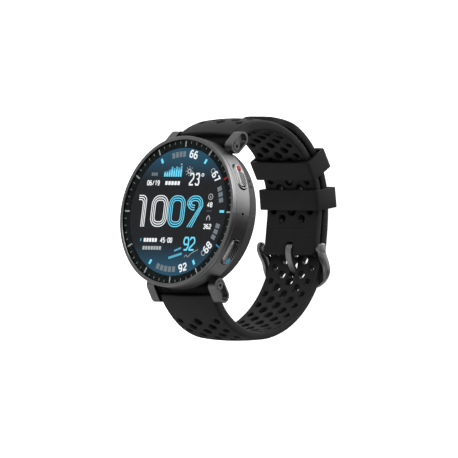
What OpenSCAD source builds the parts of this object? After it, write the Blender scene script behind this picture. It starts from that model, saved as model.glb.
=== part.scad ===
// GPS running watch: a round metal case with a touch display, two push buttons and four lugs,
// on a perforated two-piece strap that is buckled into a loop, as it is on a wrist.
// Z = 0 is the wrist side of the sensor window, +Z leaves the dial towards the reader,
// +Y points to 12 o'clock and +X to 3 o'clock. Millimetres.

/* [Case] */
// Outer diameter of the case
case_d = 46; // [45.6:0.1:46.4]
// Height of the dial above the wrist side of the sensor window
dial_z = 12.9; // [12.9:0.1:13.1]
// Height at which the metal case meets the back cover
case_split_z = 5.9; // [5.8:0.1:6]
// Diameter of the cover glass
glass_d = 43.5; // [43.3:0.1:43.5]
// Diameter of the display panel
display_d = 38.8; // [38:0.1:39]

/* [Lugs] */
// Clear width between a pair of lugs
lug_gap = 22; // [21.9:0.1:22.2]
// Width of one lug along the spring bar
lug_t = 3; // [2.8:0.05:3.1]
// Radius of a lug's rounded ends
lug_r = 2.2; // [2.1:0.05:2.3]
// Distance of a spring bar from the middle of the case
pin_y = 21.1; // [21:0.1:21.2]
// Depth of a spring bar below the dial
pin_depth = 7.6; // [7.5:0.1:7.7]

/* [Buttons] */
// Angle of each button above or below 3 o'clock
button_angle = 30; // [28:1:32]
// Length of a button round the case
button_l = 8.6; // [8:0.1:8.8]
// Height of a button
button_h = 3.8; // [3.6:0.1:3.9]
// Depth of the button row below the dial
button_depth = 4.2; // [4.1:0.1:4.2]
// Radius of a button's stem
stem_r = 0.9; // [0.8:0.05:0.95]

/* [Strap] */
// Width of the strap
strap_w = 20.6; // [20:0.1:20.8]
// Thickness of both straps where they leave the lugs
root_t = 3.2; // [3:0.1:3.2]
// Thickness of the short strap under the buckle
short_t = 2.4; // [2.2:0.1:2.4]
// Thickness of the long strap at its tail
long_t = 2.2; // [2:0.1:2.2]
// Length of a keeper along the strap
keeper_l = 6.2; // [5.8:0.1:6.2]

/* [Buckle] */
// Radius of the buckle bar
bar_r = 0.75; // [0.7:0.01:0.76]
// Thickness of each buckle arm
arm_t = 1.2; // [1.1:0.05:1.3]
// Width of the buckle tongue
tongue_w = 2.3; // [2:0.1:2.4]

/* [Hidden] */
$fn = 96;
small = 40;
case_r = case_d / 2;
glass_r = glass_d / 2;
display_r = display_d / 2;
over = 30;

// Heights in the case
ledge_z = 11.6;
rim_z = 12.0;
glass_z = 12.6;
glass_t = 0.8;
bezel_top = 13.35;
floor_z = 1.0;
cavity_z = 2.2;
cover_top = case_split_z - 0.15;
board_z = 8.9;

// Radii in the case
wall_r = 20.6;
ledge_r = 20.0;
rim_r = 21.85;
cavity_r = 19.2;
window_r = 9.5;

// Small parts that several pieces make room for
screw_at = [9, 17.85, 0];
screw_r = 0.5;
screw_clear_r = 0.6;
screw_head_r = 0.92;
contact_x = 2.5;
contact_y = -13.6;
contact_r = 0.9;
motor_x = 14.4;

// Flats at 12 and 6 o'clock that make room for the strap ends
cavity_flat = 16.8;
end_wall = 17.1;
recess_flat = 19.2;
recess_top = dial_z - 5.1;

// Lugs and spring bars
lug_in = lug_gap / 2;
lug_out = lug_in + lug_t;
pin_z = dial_z - pin_depth;
lug_tip = [9.9, 23.8];
lug_rim = 0.65;
lug_recess = 1;
lug_root_y = 18.3;
lug_root_t = 1.5;
lug_root_rise = 1.1;
bushing_r = 1.3;
bushing_seat = 1.4;
lug_hole_r = 0.5;
bar_tube_r = 0.75;
tip_r = 0.43;
bar_tube_half = 10.3;
tip_reach = 12;
lever_angle = 30;
lever_at = -8.2;

// Buttons
button_z = dial_z - button_depth;
pocket_u = 21.3;
pocket_gap = 0.25;
mic_z = dial_z - 4;
mic_hole_r = 0.42;
button_face_r = case_r + 0.35;
stem_gap = 0.05;
seal_r = 1.6;
clip_r = 1.15;

// Strap routes in the plane of the loop, as depth below the dial and height to 12 o'clock.
// Each stretch is [radius, angle], turning left, or [0, length] where it is straight.
long_start = [9.4, -23.0];
long_heading = -55;
long_route = [[22.8, 74.9], [29.6, 67.8], [67.6, 14.1], [26.7, 73.6]];
short_start = [52.4, -4.65];
short_heading = 93;
short_route = [[0, 11], [25.4, 130.2]];
taper_l = 30;
route_step = 1.8;
barrel_r = 1.7;
root_w = 21.6;

// Keepers ride on the arc of the short strap
keeper_hub = [26.49, 4.98];
keeper_in = 23.7;
keeper_out = 30.8;
keeper_wall = 1.1;
keeper_half = 10.9;
upper_keeper_angle = 40;
lower_keeper_angle = 16.8;

// Buckle
bar_at = [52.35, -2.7];
arm_in = 11.8;
frame_half = arm_in + arm_t;
frame_corner_r = 6.5;
frame_corner_z = -7.4;
web_in = 10.45;
web_start_z = -4.2;
web_full_z = -7.2;
web_corner_z = -10;
web_corner_r = 2.6;
collar_l = 1.1;
collar_r = 1.05;
bar_gap = 0.05;
tongue_wall = 0.75;
tongue_slot = [tongue_w / 2 + 0.15, -11.6, -6.1];

function left(h) = [-sin(h), cos(h)];
function ahead(h) = [cos(h), sin(h)];
function seg_length(seg) = seg[0] == 0 ? seg[1] : seg[0] * seg[1] * PI / 180;
function seg_point(p, h, seg, f) = seg[0] == 0
    ? p + f * seg[1] * ahead(h)
    : p + seg[0] * left(h) - seg[0] * left(h + f * seg[1]);
function seg_heading(h, seg, f) = seg[0] == 0 ? h : h + f * seg[1];
function seg_steps(seg) = seg[0] == 0 ? 1 : ceil(seg_length(seg) / route_step);

// Samples of a route as [point, heading, distance from its start]
function trace(p, h, route, i = 0, s = 0) = i == len(route)
    ? [[p, h, s]]
    : concat(
        [for (k = [0 : seg_steps(route[i]) - 1])
            let (f = k / seg_steps(route[i]))
            [seg_point(p, h, route[i], f), seg_heading(h, route[i], f),
             s + f * seg_length(route[i])]],
        trace(seg_point(p, h, route[i], 1), seg_heading(h, route[i], 1), route, i + 1,
              s + seg_length(route[i])));

// Thickness at a distance from the lug end
function strap_t(from_lug, thin) =
    root_t + (thin - root_t) * min(1, max(0, from_lug) / taper_l);
function edge(samples, ts, side) =
    [for (i = [0 : len(samples) - 1]) samples[i][0] + side * ts[i] / 2 * left(samples[i][1])];
function reversed(list) = [for (i = [len(list) - 1 : -1 : 0]) list[i]];

// The plane of the loop: x is depth below the dial, y points to 12 o'clock, z to 3 o'clock
module loop_plane() {
    translate([0, 0, dial_z]) rotate([0, 90, 0]) children();
}

module across(w) {
    translate([0, 0, -w / 2]) linear_extrude(w) children();
}

module ring(r_in, r_out, z0, z1) {
    translate([0, 0, z0]) difference() {
        cylinder(r = r_out, h = z1 - z0);
        translate([0, 0, -1]) cylinder(r = r_in, h = z1 - z0 + 2);
    }
}

module disc(r, z0, z1) {
    translate([0, 0, z0]) cylinder(r = r, h = z1 - z0);
}

// A box given by its low corner and high corner
module block(low, high) {
    translate(low) cube(high - low);
}

module four_corners() {
    for (sx = [0, 1]) for (sy = [0, 1])
        mirror([sx, 0, 0]) mirror([0, sy, 0]) children();
}

module at_buttons() {
    for (a = [button_angle, -button_angle]) rotate([0, 0, a]) children();
}

// Stadium prism along +X between two radial distances, flat sides up and down
module stadium(l, h, u0, u1) {
    translate([u0, 0, button_z]) rotate([90, 0, 90]) linear_extrude(u1 - u0) union() {
        square([l - h, h], center = true);
        for (s = [-1, 1]) translate([s * (l - h) / 2, 0]) circle(d = h, $fn = small);
    }
}

// Round rod along +X at the height of the buttons
module stem(r, u0, u1) {
    translate([u0, 0, button_z]) rotate([0, 90, 0]) cylinder(r = r, h = u1 - u0, $fn = small);
}

module lug_outline(r) {
    translate([pin_depth, pin_y]) circle(r = r, $fn = small);
    translate(lug_tip) circle(r = r, $fn = small);
    lug_run = lug_tip - [pin_depth, pin_y];
    translate([pin_depth, pin_y]) rotate(atan2(lug_run[1], lug_run[0]))
        translate([0, -r]) square([norm(lug_run), 2 * r]);
}

module lug() {
    loop_plane() translate([0, 0, lug_in]) linear_extrude(lug_t) lug_outline(lug_r);
    block([lug_in, lug_root_y, case_split_z], [lug_in + lug_root_t, pin_y, pin_z + lug_root_rise]);
}

module lug_cuts() {
    loop_plane() translate([0, 0, lug_out - lug_recess]) linear_extrude(lug_recess + 1)
        lug_outline(lug_r - lug_rim);
    loop_plane() translate([pin_depth, pin_y, lug_in - 1])
        cylinder(r = lug_hole_r, h = 2, $fn = small);
    loop_plane() translate([pin_depth, pin_y, lug_in + bushing_seat])
        cylinder(r = bushing_r, h = 2, $fn = small);
}

module bezel_ring() {
    color("silver") rotate_extrude() polygon([
        [rim_r, rim_z], [case_r - 0.15, rim_z], [case_r - 0.15, rim_z + 0.15],
        [case_r, rim_z + 0.3], [case_r, bezel_top - 0.25], [case_r - 0.25, bezel_top],
        [rim_r + 0.12, bezel_top], [rim_r, bezel_top - 0.12]
    ]);
}

module cover_glass() {
    color([0.2, 0.25, 0.3, 0.4]) rotate_extrude() polygon([
        [0, glass_z], [glass_r, glass_z], [glass_r, glass_z + glass_t - 0.25],
        [glass_r - 0.3, glass_z + glass_t], [0, glass_z + glass_t]
    ]);
}

module dial_ring() {
    color([0.05, 0.05, 0.06]) ring(display_r + 0.15, glass_r - 0.1, rim_z, glass_z);
}

module display_panel() {
    color([0.1, 0.14, 0.2]) disc(display_r, ledge_z + 0.1, glass_z - 0.05);
}

module display_gasket() {
    color([0.1, 0.1, 0.1]) ring(ledge_r + 0.05, glass_r - 0.2, ledge_z, rim_z);
}

module mid_case() {
    color([0.45, 0.45, 0.46]) difference() {
        union() {
            rotate_extrude() polygon([
                [wall_r, case_split_z], [case_r - 0.2, case_split_z],
                [case_r, case_split_z + 0.2], [case_r, rim_z - 0.2], [case_r - 0.2, rim_z],
                [rim_r, rim_z], [rim_r, ledge_z], [ledge_r, ledge_z], [ledge_r, ledge_z - 0.7],
                [wall_r, ledge_z - 0.7]
            ]);
            for (s = [0, 1]) mirror([0, s, 0]) intersection() {
                block([-12, end_wall, case_split_z], [12, case_r, board_z - 0.1]);
                disc(wall_r + 1, 0, over);
            }
            four_corners() lug();
        }
        for (s = [0, 1]) mirror([0, s, 0])
            block([-lug_in, recess_flat, 0], [lug_in, over, recess_top]);
        four_corners() lug_cuts();
        four_corners() translate(screw_at) cylinder(r = screw_r, h = 8.2, $fn = small);
        at_buttons() {
            stadium(button_l + 2 * pocket_gap, button_h + 2 * pocket_gap, pocket_u, over);
            stem(seal_r, wall_r - 1, pocket_u + 1);
        }
        translate([wall_r - 1, 0, mic_z]) rotate([0, 90, 0])
            cylinder(r = mic_hole_r, h = over, $fn = small);
    }
}

module lug_bushings() {
    color("silver") four_corners() loop_plane() difference() {
        translate([pin_depth, pin_y, lug_in + bushing_seat])
            cylinder(r = bushing_r, h = lug_t - bushing_seat, $fn = small);
        translate([pin_depth, pin_y, lug_out - 0.7])
            cylinder(r = lug_hole_r, h = 2, $fn = small);
    }
}

module button(a) {
    color([0.5, 0.5, 0.5]) rotate([0, 0, a]) union() {
        intersection() {
            stadium(button_l, button_h, pocket_u + 0.55, over);
            disc(button_face_r, 0, over);
        }
        stem(stem_r, 18.9, pocket_u + 0.6);
    }
}

module upper_button() {
    button(button_angle);
}

module lower_button() {
    button(-button_angle);
}

module button_clip(a) {
    color("silver") rotate([0, 0, a]) difference() {
        stem(clip_r, 19.3, 19.7);
        stem(stem_r, 19, 20);
    }
}

module upper_button_clip() {
    button_clip(button_angle);
}

module lower_button_clip() {
    button_clip(-button_angle);
}

module button_seals() {
    color([0.1, 0.1, 0.1]) at_buttons() difference() {
        stem(seal_r, wall_r + 0.1, pocket_u);
        stem(stem_r + stem_gap, wall_r - 1, pocket_u + 1);
    }
}

module button_switches() {
    color("gold") at_buttons() block([17.5, -1.6, button_z - 1.0], [18.3, 1.6, button_z + 1.0]);
}

module antenna_ring() {
    color([0.2, 0.2, 0.2]) ring(18.4, 19.8, 10.1, 10.8);
}

module microphone() {
    color("silver") block([19.0, -1.5, mic_z - 0.8], [20.2, 1.5, mic_z + 0.8]);
}

module chassis() {
    color([0.25, 0.25, 0.25]) difference() {
        intersection() {
            disc(19.0, 7.7, board_z);
            block([-over, -cavity_flat, 0], [over, cavity_flat, over]);
        }
        disc(16.4, 8.3, board_z + 1);
        at_buttons() block([17.3, -1.9, button_z - 1.3], [over, 1.9, over]);
        block([18.6, -1.8, 7.9], [over, 1.8, over]);
    }
}

module main_board() {
    color([0.05, 0.3, 0.15]) disc(17.2, board_z, board_z + 0.8);
}

module shield_cans() {
    color("silver") {
        block([-11, -3, board_z + 0.8], [-1, 9, board_z + 2.1]);
        block([1, -9, board_z + 0.8], [10, 1, board_z + 2.1]);
        block([1, 3, board_z + 0.8], [9, 10, board_z + 1.9]);
    }
}

module battery() {
    color([0.3, 0.3, 0.32]) block([-14, -11, 3.0], [9.6, 11, 7.5]);
}

module motor_can() {
    color("silver") translate([motor_x, 0, 0]) difference() {
        disc(4.2, 3.2, 6.4);
        disc(3.8, 3.5, 6.1);
    }
}

// A half-moon weight on a spindle
module motor_rotor() {
    color("gold") translate([motor_x, 0, 0]) union() {
        disc(0.6, 3.55, 6.05);
        difference() {
            disc(3.5, 4.2, 5.6);
            block([-4, 0.7, 4], [4, 4, 6]);
        }
    }
}

module pressure_sensor() {
    color("silver") rotate([0, 0, 20]) block([16.4, 4, 2.4], [18, 6, 3.6]);
}

module sensor_board() {
    color([0.05, 0.3, 0.15]) disc(window_r - 0.3, 2.3, 2.8);
}

module sensor_leds() {
    color("white") for (a = [0 : 60 : 300])
        rotate([0, 0, a]) block([4.4, -0.6, 1.85], [5.6, 0.6, 2.3]);
}

module sensor_photodiodes() {
    color([0.1, 0.1, 0.1]) for (a = [30 : 60 : 330])
        rotate([0, 0, a]) block([4.2, -0.9, 1.95], [6.0, 0.9, 2.3]);
}

module sensor_window() {
    color([0.05, 0.05, 0.07]) rotate_extrude() polygon([
        [0, 0], [6, 0], [window_r, 0.8], [window_r, 1.8], [0, 1.8]
    ]);
}

module charging_contacts() {
    color("gold") for (x = [-contact_x, contact_x])
        translate([x, contact_y, floor_z - 0.1]) cylinder(r = contact_r, h = 1.9, $fn = small);
}

module back_gasket() {
    color([0.1, 0.1, 0.1]) translate([0, 0, cover_top]) difference() {
        linear_extrude(case_split_z - cover_top) difference() {
            intersection() {
                circle(r = 22.2);
                square([2 * over, 37.4], center = true);
            }
            intersection() {
                circle(r = 20.9);
                square([2 * over, 34.3], center = true);
            }
        }
        four_corners() translate(screw_at - [0, 0, 1])
            cylinder(r = screw_clear_r, h = 3, $fn = small);
    }
}

module back_cover() {
    color([0.15, 0.15, 0.15]) difference() {
        rotate_extrude() polygon([
            [window_r + 0.05, floor_z], [20.8, floor_z], [21.6, floor_z + 0.6],
            [case_r - 0.3, cover_top], [cavity_r, cover_top], [cavity_r, cavity_z],
            [window_r + 0.05, cavity_z]
        ]);
        for (s = [0, 1]) mirror([0, s, 0])
            block([-lug_in, recess_flat - 0.3, 0], [lug_in, over, over]);
        four_corners() block([lug_in - 0.2, 18.75, 3.0], [lug_out + 0.2, over, over]);
        four_corners() translate(screw_at) {
            cylinder(r = screw_clear_r, h = over, $fn = small);
            cylinder(r = 0.95, h = cavity_z, $fn = small);
        }
        for (x = [-contact_x, contact_x])
            translate([x, contact_y, 0]) cylinder(r = contact_r, h = over, $fn = small);
        for (a = [24.5, 29.5]) rotate([0, 0, a]) block([18, -0.4, 3.3], [over, 0.4, 4.1]);
    }
    color([0.15, 0.15, 0.15]) for (s = [0, 1]) mirror([0, s, 0]) difference() {
        intersection() {
            block([-over, cavity_flat, cavity_z], [over, recess_flat - 0.3, cover_top]);
            disc(cavity_r, 0, over);
        }
        for (m = [0, 1]) mirror([m, 0, 0])
            translate(screw_at) cylinder(r = screw_clear_r, h = over, $fn = small);
    }
}

module case_screws() {
    color("silver") four_corners() translate(screw_at) difference() {
        union() {
            disc(screw_head_r, 1.25, cavity_z);
            translate([0, 0, cavity_z]) cylinder(r = screw_r, h = 6, $fn = small);
        }
        translate([0, 0, 0.6]) cylinder(r = 0.45, h = 1.1, $fn = 6);
    }
}

// Spring bar tube with one fixed tip, slotted for the quick-release lever
module spring_bar(side) {
    color("silver") loop_plane() translate([pin_depth, side * pin_y, 0]) difference() {
        union() {
            translate([0, 0, -bar_tube_half])
                cylinder(r = bar_tube_r, h = 2 * bar_tube_half, $fn = small);
            translate([0, 0, bar_tube_half])
                cylinder(r = tip_r, h = tip_reach - bar_tube_half - 0.1, $fn = small);
        }
        translate([0, 0, -11]) cylinder(r = tip_r + 0.05, h = 6, $fn = small);
        rotate([0, 0, -side * lever_angle]) translate([0, -0.45, lever_at - 0.5])
            cube([2, 0.9, 2.4]);
    }
}

module upper_spring_bar() {
    spring_bar(1);
}

module lower_spring_bar() {
    spring_bar(-1);
}

// Moving tip of a spring bar with the lever that draws it in, on the skin side
module quick_release(side) {
    color("silver") loop_plane() translate([pin_depth, side * pin_y, 0]) union() {
        translate([0, 0, -tip_reach]) cylinder(r = tip_r, h = 4.2, $fn = small);
        translate([0, 0, lever_at]) rotate([0, 90, -side * lever_angle])
            cylinder(r = 0.36, h = 2.4, $fn = small);
    }
}

module upper_quick_release() {
    quick_release(1);
}

module lower_quick_release() {
    quick_release(-1);
}

// The end of a strap round its spring bar: p, h and t are where the band begins
module strap_root(p, h, t, side) {
    pin = [pin_depth, side * pin_y];
    polygon([
        p - t / 2 * left(h), p + t / 2 * left(h), pin + barrel_r * left(h),
        pin - 0.8 * left(h)
    ]);
    translate(pin) circle(r = barrel_r, $fn = small);
}

module strap_root_cuts(side) {
    translate([pin_depth, side * pin_y, -over])
        cylinder(r = bar_tube_r + 0.03, h = 2 * over, $fn = small);
    translate([pin_depth, side * pin_y, lever_at - 1]) rotate([0, 0, -side * lever_angle])
        translate([0, -0.9, 0]) cube([4, 1.8, 3.6]);
}

module short_strap() {
    samples = trace(short_start, short_heading, short_route);
    length = samples[len(samples) - 1][2];
    ts = [for (s = samples) strap_t(length - s[2], short_t)];
    last = samples[len(samples) - 1];
    color([0.13, 0.13, 0.13]) loop_plane() difference() {
        union() {
            across(strap_w) polygon(concat(edge(samples, ts, 1), reversed(edge(samples, ts, -1))));
            across(root_w) strap_root(last[0], last[1], root_t, 1);
        }
        strap_root_cuts(1);
        translate([bar_at[0], bar_at[1], -over])
            cylinder(r = bar_r, h = 2 * over, $fn = small);
        translate([bar_at[0] - 4, -over, -tongue_slot[0]])
            cube([8, over + bar_at[1] + 1.9, 2 * tongue_slot[0]]);
    }
}

module long_strap() {
    samples = trace(long_start, long_heading, long_route);
    ts = [for (s = samples) strap_t(s[2], long_t)];
    color([0.13, 0.13, 0.13]) loop_plane() difference() {
        union() {
            across(strap_w) polygon(concat(edge(samples, ts, 1), reversed(edge(samples, ts, -1))));
            across(root_w) strap_root(long_start, long_heading, root_t, -1);
        }
        strap_root_cuts(-1);
        translate([bar_at[0], tongue_slot[1], -tongue_slot[0]])
            cube([8, tongue_slot[2] - tongue_slot[1], 2 * tongue_slot[0]]);
    }
}

// A loop of the strap that holds the tail down, square to the strap at an angle on its arc
module keeper(a) {
    color([0.13, 0.13, 0.13]) loop_plane() translate(concat(keeper_hub, 0)) rotate([0, 0, a])
        difference() {
            translate([keeper_in - keeper_wall, -keeper_l / 2, -keeper_half - keeper_wall])
                cube([keeper_out - keeper_in + 2 * keeper_wall, keeper_l,
                      2 * (keeper_half + keeper_wall)]);
            translate([keeper_in, -keeper_l, -keeper_half])
                cube([keeper_out - keeper_in, 2 * keeper_l, 2 * keeper_half]);
        }
}

module upper_keeper() {
    keeper(upper_keeper_angle);
}

module lower_keeper() {
    keeper(lower_keeper_angle);
}

module buckle_bar() {
    color("silver") loop_plane() translate([bar_at[0], bar_at[1], -frame_half])
        cylinder(r = bar_r, h = 2 * frame_half, $fn = small);
}

// Outline of the buckle frame seen from outside: arms, round corners and crossbar
module frame_plan() {
    middle = frame_half - frame_corner_r;
    for (s = [-1, 1]) translate([frame_corner_z, s * middle])
        circle(r = frame_corner_r, $fn = small);
    translate([frame_corner_z - frame_corner_r, -middle]) square([frame_corner_r, 2 * middle]);
    translate([frame_corner_z, -frame_half]) square([frame_corner_r + 2, 2 * frame_half]);
}

// Opening of the frame: as wide as the bar at first, then narrowed by a web beside the strap
module frame_opening() {
    low_half = web_in - web_corner_r;
    polygon([
        [over, -arm_in], [web_start_z, -arm_in], [web_full_z, -web_in], [web_corner_z, -web_in],
        [web_corner_z, web_in], [web_full_z, web_in], [web_start_z, arm_in], [over, arm_in]
    ]);
    for (s = [-1, 1]) translate([web_corner_z, s * low_half])
        circle(r = web_corner_r, $fn = small);
    translate([web_corner_z - web_corner_r, -low_half])
        square([web_corner_r + 1, 2 * low_half]);
}

// Frame bent to follow the wrist: its thick arms run past the edges of the long strap, and its
// thinner crossbar lies outside the strap
module buckle_frame() {
    arm_side = [
        [51.9, -0.75], [51.35, -1.3], [51.1, -2.1], [51.15, -3.1], [51.75, -4.2],
        [52.9, -5.6], [53.9, -7.2], [54.6, -9], [55.1, -10.8], [55.5, -12.4],
        [55.85, -13.6], [56.1, -14], [56.7, -14], [57, -13.6], [57, -12.4],
        [57, -10], [56.6, -8], [55.9, -6.2], [54.9, -4.4], [54.1, -2.7],
        [53.6, -1.5], [52.9, -0.8]
    ];
    crossbar_side = [
        [53.4, -4.4], [54.5, -6], [55.3, -7.6], [55.85, -9.4], [55.95, -10.4], [55.8, -12.4],
        [55.85, -13.6], [56.1, -14], [56.7, -14], [57, -13.6], [57, -12.4],
        [57, -10], [56.6, -8], [55.9, -6.2], [54.9, -4.4]
    ];
    color("silver") loop_plane() difference() {
        union() {
            intersection() {
                across(2 * frame_half + 1) polygon(crossbar_side);
                translate([bar_at[0] - 3, 0, 0]) rotate([90, 0, 90]) linear_extrude(10)
                    difference() {
                        frame_plan();
                        frame_opening();
                    }
            }
            intersection() {
                union() {
                    for (s = [0, 1]) mirror([0, 0, s])
                        translate([0, 0, arm_in]) linear_extrude(over) polygon(arm_side);
                }
                translate([bar_at[0] - 3, 0, 0]) rotate([90, 0, 90]) linear_extrude(10)
                    frame_plan();
            }
            for (s = [0, 1]) mirror([0, 0, s])
                translate([bar_at[0], bar_at[1], arm_in - collar_l])
                    cylinder(r = collar_r, h = collar_l + 0.3, $fn = small);
        }
        translate([bar_at[0], bar_at[1], -over])
            cylinder(r = bar_r + bar_gap, h = 2 * over, $fn = small);
    }
}

// Flat tongue bent round the bar, through a hole of the long strap and over the crossbar
module buckle_tongue() {
    blade = [
        [50.85, -2.7], [52.4, -2.9], [52.4, -4], [52.9, -5.4], [53.7, -6.9],
        [54.9, -8.4], [56.4, -10], [57.6, -11.4], [58.05, -12.7], [58, -14.5],
        [57.15, -14.3], [57.1, -12.7], [56.6, -11.8], [55.4, -10.5], [53.9, -9],
        [52.6, -7.6], [51.6, -6], [51, -4.2]
    ];
    color("silver") loop_plane() difference() {
        union() {
            translate([bar_at[0], bar_at[1], -tongue_w / 2])
                cylinder(r = bar_r + tongue_wall, h = tongue_w, $fn = small);
            across(tongue_w) polygon(blade);
        }
        translate([bar_at[0], bar_at[1], -over])
            cylinder(r = bar_r + bar_gap, h = 2 * over, $fn = small);
    }
}

bezel_ring();
cover_glass();
dial_ring();
display_panel();
display_gasket();
mid_case();
lug_bushings();
upper_button();
lower_button();
upper_button_clip();
lower_button_clip();
button_seals();
button_switches();
antenna_ring();
microphone();
chassis();
main_board();
shield_cans();
battery();
motor_can();
motor_rotor();
pressure_sensor();
sensor_board();
sensor_leds();
sensor_photodiodes();
sensor_window();
charging_contacts();
back_gasket();
back_cover();
case_screws();
upper_spring_bar();
lower_spring_bar();
upper_quick_release();
lower_quick_release();
short_strap();
long_strap();
upper_keeper();
lower_keeper();
buckle_bar();
buckle_frame();
buckle_tongue();
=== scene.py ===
import math

import bmesh
import bpy
from mathutils import Matrix, Vector


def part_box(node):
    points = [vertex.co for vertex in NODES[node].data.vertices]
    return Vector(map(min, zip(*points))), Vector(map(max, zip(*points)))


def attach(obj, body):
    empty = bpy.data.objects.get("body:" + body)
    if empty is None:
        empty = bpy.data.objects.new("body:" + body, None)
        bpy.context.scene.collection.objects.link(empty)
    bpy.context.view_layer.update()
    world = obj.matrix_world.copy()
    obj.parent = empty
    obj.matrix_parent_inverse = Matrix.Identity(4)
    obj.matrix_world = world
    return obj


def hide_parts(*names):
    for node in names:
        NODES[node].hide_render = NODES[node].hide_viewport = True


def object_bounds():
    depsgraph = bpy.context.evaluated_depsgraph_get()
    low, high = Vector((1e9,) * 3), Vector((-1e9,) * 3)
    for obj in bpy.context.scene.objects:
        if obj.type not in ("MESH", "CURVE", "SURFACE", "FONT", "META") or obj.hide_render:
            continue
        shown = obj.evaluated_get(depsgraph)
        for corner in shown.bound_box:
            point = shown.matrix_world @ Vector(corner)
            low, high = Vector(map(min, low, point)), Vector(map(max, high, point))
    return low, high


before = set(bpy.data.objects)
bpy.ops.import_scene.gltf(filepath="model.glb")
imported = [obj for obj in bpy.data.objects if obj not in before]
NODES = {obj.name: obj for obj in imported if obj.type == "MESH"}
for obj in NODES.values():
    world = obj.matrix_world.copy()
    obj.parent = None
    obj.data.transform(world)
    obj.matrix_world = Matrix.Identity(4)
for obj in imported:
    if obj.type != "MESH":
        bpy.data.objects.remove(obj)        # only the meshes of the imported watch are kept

# The row frame: Z = 0 is the wrist side of the sensor window, +Z leaves the dial,
# +Y points to 12 o'clock and +X to 3 o'clock. Everything here is in metres, and lengths
# written in millimetres are multiplied by MM.
MM = 0.001
CAD_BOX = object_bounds()

# ---------------------------------------------------------------- driving dimensions (mm)
GLASS_DROP = 0.45         # from the top of the bezel to the face of the glass
CASE_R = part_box("mid_case")[1].x / MM
DIAL_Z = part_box("bezel_ring")[1].z / MM - GLASS_DROP
DISPLAY_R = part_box("display_panel")[1].x / MM
DISPLAY_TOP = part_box("display_panel")[1].z / MM
RING_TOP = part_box("dial_ring")[1].z / MM
BUTTON_Z = (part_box("upper_button")[0].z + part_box("upper_button")[1].z) / 2 / MM

# The middle line of a strap lies in the plane of the loop, where a point is (depth below the
# dial, height towards 12 o'clock). It has a start, a heading in degrees and a route, which lists
# (radius, degrees) for a left-hand arc and (0, length) for a straight.
LONG_START, LONG_HEADING = (9.4, -23.0), -55
LONG_ROUTE = ((22.8, 74.9), (29.6, 67.8), (67.6, 14.1), (26.7, 73.6))
SHORT_START, SHORT_HEADING = (52.4, -4.65), 93
SHORT_ROUTE = ((0, 11), (25.4, 130.2))
STRAP_HALF, ROOT_HALF = 10.3, 10.8        # half widths along the strap and at the lugs
ROOT_T, LONG_T, SHORT_T = 3.2, 2.2, 2.4   # thickness at the lugs and further on
NARROWING_L, THINNING_L = 10, 30          # how far from the lug each change goes on
PIN_AT, PIN_BORE_R, BARREL_R = (7.6, 21.1), 0.8, 1.7

KEEPER_HUB = (26.49, 4.98)
KEEPER_ANGLES = {"upper_keeper": 40, "lower_keeper": 16.8}
KEEPER_IN, KEEPER_OUT, KEEPER_HALF = 23.7, 30.8, 10.9
KEEPER_WALL, KEEPER_L = 1.1, 6.2

BAR_AT, BAR_R = (52.35, -2.7), 0.75
ARM_IN, ARM_T = 11.8, 1.2
TONGUE_W, TONGUE_T = 2.3, 0.85


# ---------------------------------------------------------------- mesh helpers
WELD = 2e-6               # vertices nearer than this become one, in metres
PLATE_WELD = 1e-4         # the same on a plate, in millimetres
FLAT_T = 2.0              # thickness of a plate that gets its real thickness when it is bent


def link(name, data):
    """Adds a mesh, a lamp or a camera to the scene as an object."""
    obj = bpy.data.objects.new(name, data)
    bpy.context.scene.collection.objects.link(obj)
    return obj


def finish_mesh(bm, name, sharp=40):
    """A smooth-shaded object from a bmesh, with creases past the given angle."""
    bmesh.ops.remove_doubles(bm, verts=bm.verts, dist=WELD)
    bmesh.ops.recalc_face_normals(bm, faces=bm.faces)
    mesh = bpy.data.meshes.new(name)
    bm.to_mesh(mesh)
    bm.free()
    mesh.polygons.foreach_set("use_smooth", [True] * len(mesh.polygons))
    mesh.set_sharp_from_angle(angle=math.radians(sharp))
    return link(name, mesh)


def plate(outlines, thickness, bevel, steps=3):
    """A bmesh plate in the XY plane, in mm, with edges rounded in a few steps.

    Outlines inside others are holes."""
    curve = bpy.data.curves.new("plate", "CURVE")
    curve.dimensions = "2D"
    curve.fill_mode = "BOTH"
    curve.extrude = thickness / 2 - bevel
    curve.bevel_depth = bevel
    curve.bevel_resolution = steps
    curve.offset = -bevel
    for points in outlines:
        spline = curve.splines.new("POLY")
        spline.points.add(len(points) - 1)
        for target, point in zip(spline.points, points):
            target.co = (point[0], point[1], 0, 1)
        spline.use_cyclic_u = True
    holder = bpy.data.objects.new("plate", curve)
    bpy.context.scene.collection.objects.link(holder)
    depsgraph = bpy.context.evaluated_depsgraph_get()
    mesh = bpy.data.meshes.new_from_object(holder.evaluated_get(depsgraph))
    bm = bmesh.new()
    bm.from_mesh(mesh)
    bpy.data.objects.remove(holder)
    bpy.data.curves.remove(curve)
    bpy.data.meshes.remove(mesh)
    bmesh.ops.remove_doubles(bm, verts=bm.verts, dist=PLATE_WELD)
    return bm


def slice_mesh(bm, axis, cuts):
    """Cuts the faces of a bmesh by planes across one axis, so that it can bend there."""
    normal = Vector((0, 0, 0))
    normal[axis] = 1
    for cut in cuts:
        geometry = bm.verts[:] + bm.edges[:] + bm.faces[:]
        bmesh.ops.bisect_plane(bm, geom=geometry, dist=PLATE_WELD, plane_co=normal * cut,
                               plane_no=normal)


def remap(bm, place):
    """Moves every vertex to place(x, y, z), which takes and returns millimetres."""
    for v in bm.verts:
        v.co = Vector(place(*v.co)) * MM
    return bm


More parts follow.
